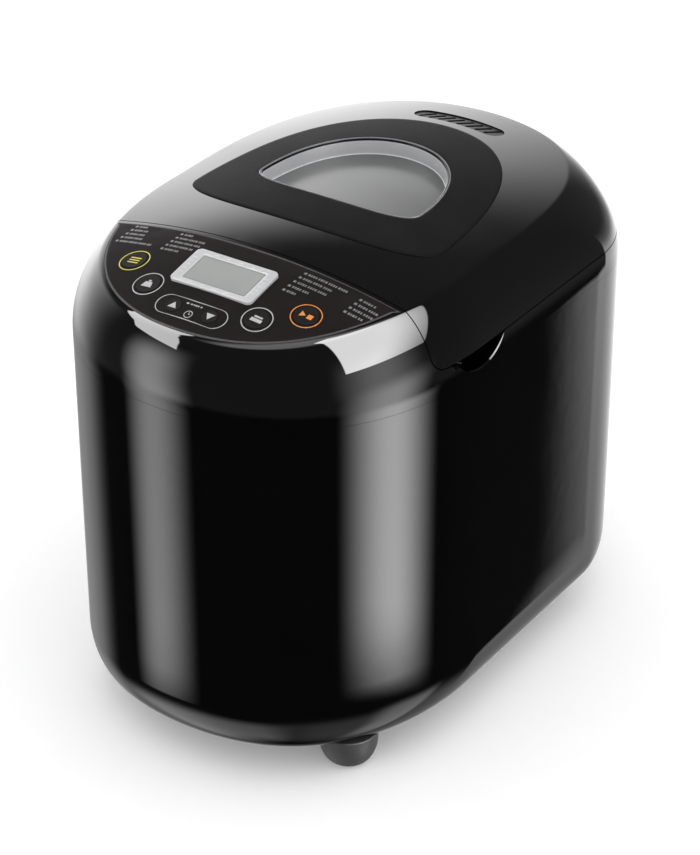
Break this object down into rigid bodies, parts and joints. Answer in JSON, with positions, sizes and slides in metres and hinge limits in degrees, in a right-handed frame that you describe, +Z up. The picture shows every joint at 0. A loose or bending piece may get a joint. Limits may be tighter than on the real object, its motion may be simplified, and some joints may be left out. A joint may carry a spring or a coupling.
{
  "type": "bread machine",
  "caption": "Bread machine with a round-fronted glossy housing, sloping key panel, hinged lid with window, lift-out kneading pan and belt drive.",
  "frame": {"origin": "on the floor under the middle of the machine's footprint", "axes": "+X right, +Y to the hinge at the back, +Z up"},
  "size_m": [0.224, 0.34, 0.2773],
  "materials": {
    "gloss_black": "gloss",
    "satin_black": "satin",
    "panel_print": "satin gloss",
    "key_cap": "satin gloss",
    "bezel_grey": "satin",
    "lcd": "smooth",
    "window_glass": "smooth",
    "liner_steel": "brushed",
    "chamber_steel": "satin",
    "screw_steel": "zinc plated",
    "nonstick": "non-stick coating",
    "element_metal": "satin sheath",
    "rubber_black": "matt",
    "seal_silicone": "matt",
    "circuit_board": "satin",
    "motor_steel": "satin",
    "bronze": "sintered",
    "pale_plastic": "satin",
    "pulley_plastic": "satin",
    "galvanised": "galvanised"
  },
  "bodies": {
    "body": {"main_housing": "gloss_black", "base_tray": "satin_black", "foot_front_left": "rubber_black", "foot_front_right": "rubber_black", "foot_rear_left": "rubber_black", "foot_rear_right": "rubber_black", "base_screws": "screw_steel", "cord_gland": "rubber_black", "upper_frame": "gloss_black", "panel_overlay": "panel_print", "display_bezel": "bezel_grey", "display_glass": "lcd", "control_board": "circuit_board", "hinge_pin": "screw_steel", "chamber": "chamber_steel", "heating_element": "element_metal", "element_clips": "screw_steel", "pan_socket": "chamber_steel", "temperature_probe": "screw_steel", "heat_shield": "galvanised", "drive_bearing": "bronze", "drive_belt": "rubber_black", "drive_bracket": "galvanised", "motor_stator": "motor_steel", "run_capacitor": "pale_plastic", "power_board": "circuit_board"},
    "lid": {"lid_shell": "gloss_black", "window_surround": "satin_black", "window_trim": "gloss_black", "window_glass": "window_glass", "vent_grille": "satin_black", "lid_liner": "liner_steel", "liner_screws": "screw_steel", "lid_seal": "seal_silicone"},
    "pan": {"bread_pan": "nonstick", "pan_base": "galvanised", "pan_bearing": "screw_steel"},
    "handle": {"pan_handle": "screw_steel"},
    "kneader": {"pan_shaft": "screw_steel", "kneading_paddle": "nonstick"},
    "drive": {"drive_shaft": "screw_steel", "drive_pulley": "pulley_plastic"},
    "motor": {"motor_rotor": "screw_steel", "motor_pulley": "bronze", "motor_fan": "pale_plastic"},
    "menu_key": {"menu_key": "key_cap"},
    "weight_key": {"weight_key": "key_cap"},
    "timer_up_key": {"timer_up_key": "key_cap"},
    "timer_down_key": {"timer_down_key": "key_cap"},
    "crust_key": {"crust_key": "key_cap"},
    "start_key": {"start_key": "key_cap"}
  },
  "joints": [
    {"name": "lid_hinge", "type": "hinge", "parent": "body", "child": "lid", "pos_m": [0, 0.1645, 0.2322], "axis": [-1, 0, 0], "range_deg": [0, 80]},
    {"name": "menu_press", "type": "slide", "parent": "body", "child": "menu_key", "axis": [-0.1316, -0.2235, 0.9658], "range_m": [-0.0008, 0], "stiffness_N_per_m": 300, "springref_m": 0.003},
    {"name": "weight_press", "type": "slide", "parent": "body", "child": "weight_key", "axis": [-0.0825, -0.2754, 0.9578], "range_m": [-0.0008, 0], "stiffness_N_per_m": 300, "springref_m": 0.003},
    {"name": "timer_up_press", "type": "slide", "parent": "body", "child": "timer_up_key", "axis": [-0.0269, -0.3095, 0.9505], "range_m": [-0.0008, 0], "stiffness_N_per_m": 300, "springref_m": 0.003},
    {"name": "timer_down_press", "type": "slide", "parent": "body", "child": "timer_down_key", "axis": [0.0269, -0.3095, 0.9505], "range_m": [-0.0008, 0], "stiffness_N_per_m": 300, "springref_m": 0.003},
    {"name": "crust_press", "type": "slide", "parent": "body", "child": "crust_key", "axis": [0.0825, -0.2754, 0.9578], "range_m": [-0.0008, 0], "stiffness_N_per_m": 300, "springref_m": 0.003},
    {"name": "start_press", "type": "slide", "parent": "body", "child": "start_key", "axis": [0.1316, -0.2235, 0.9658], "range_m": [-0.0008, 0], "stiffness_N_per_m": 300, "springref_m": 0.003},
    {"name": "pan_twist", "type": "hinge", "parent": "body", "child": "pan", "pos_m": [0, 0.028, 0.06], "axis": [0, 0, 1], "range_deg": [0, 12]},
    {"name": "handle_swing", "type": "hinge", "parent": "pan", "child": "handle", "pos_m": [0, 0.028, 0.181], "axis": [0, 1, 0], "range_deg": [0, 152]},
    {"name": "drive_spin", "type": "hinge", "parent": "body", "child": "drive", "pos_m": [0, 0.028, 0.04], "axis": [0, 0, 1], "continuous": true},
    {"name": "paddle_spin", "type": "hinge", "parent": "body", "child": "kneader", "pos_m": [0, 0.028, 0.075], "axis": [0, 0, 1], "continuous": true},
    {"name": "motor_spin", "type": "hinge", "parent": "body", "child": "motor", "pos_m": [0, -0.118, 0.06], "axis": [0, 0, 1], "continuous": true}
  ],
  "couplings": [
    {"joint": "paddle_spin", "follows": "drive_spin", "ratio": 1},
    {"joint": "motor_spin", "follows": "drive_spin", "ratio": 5}
  ]
}
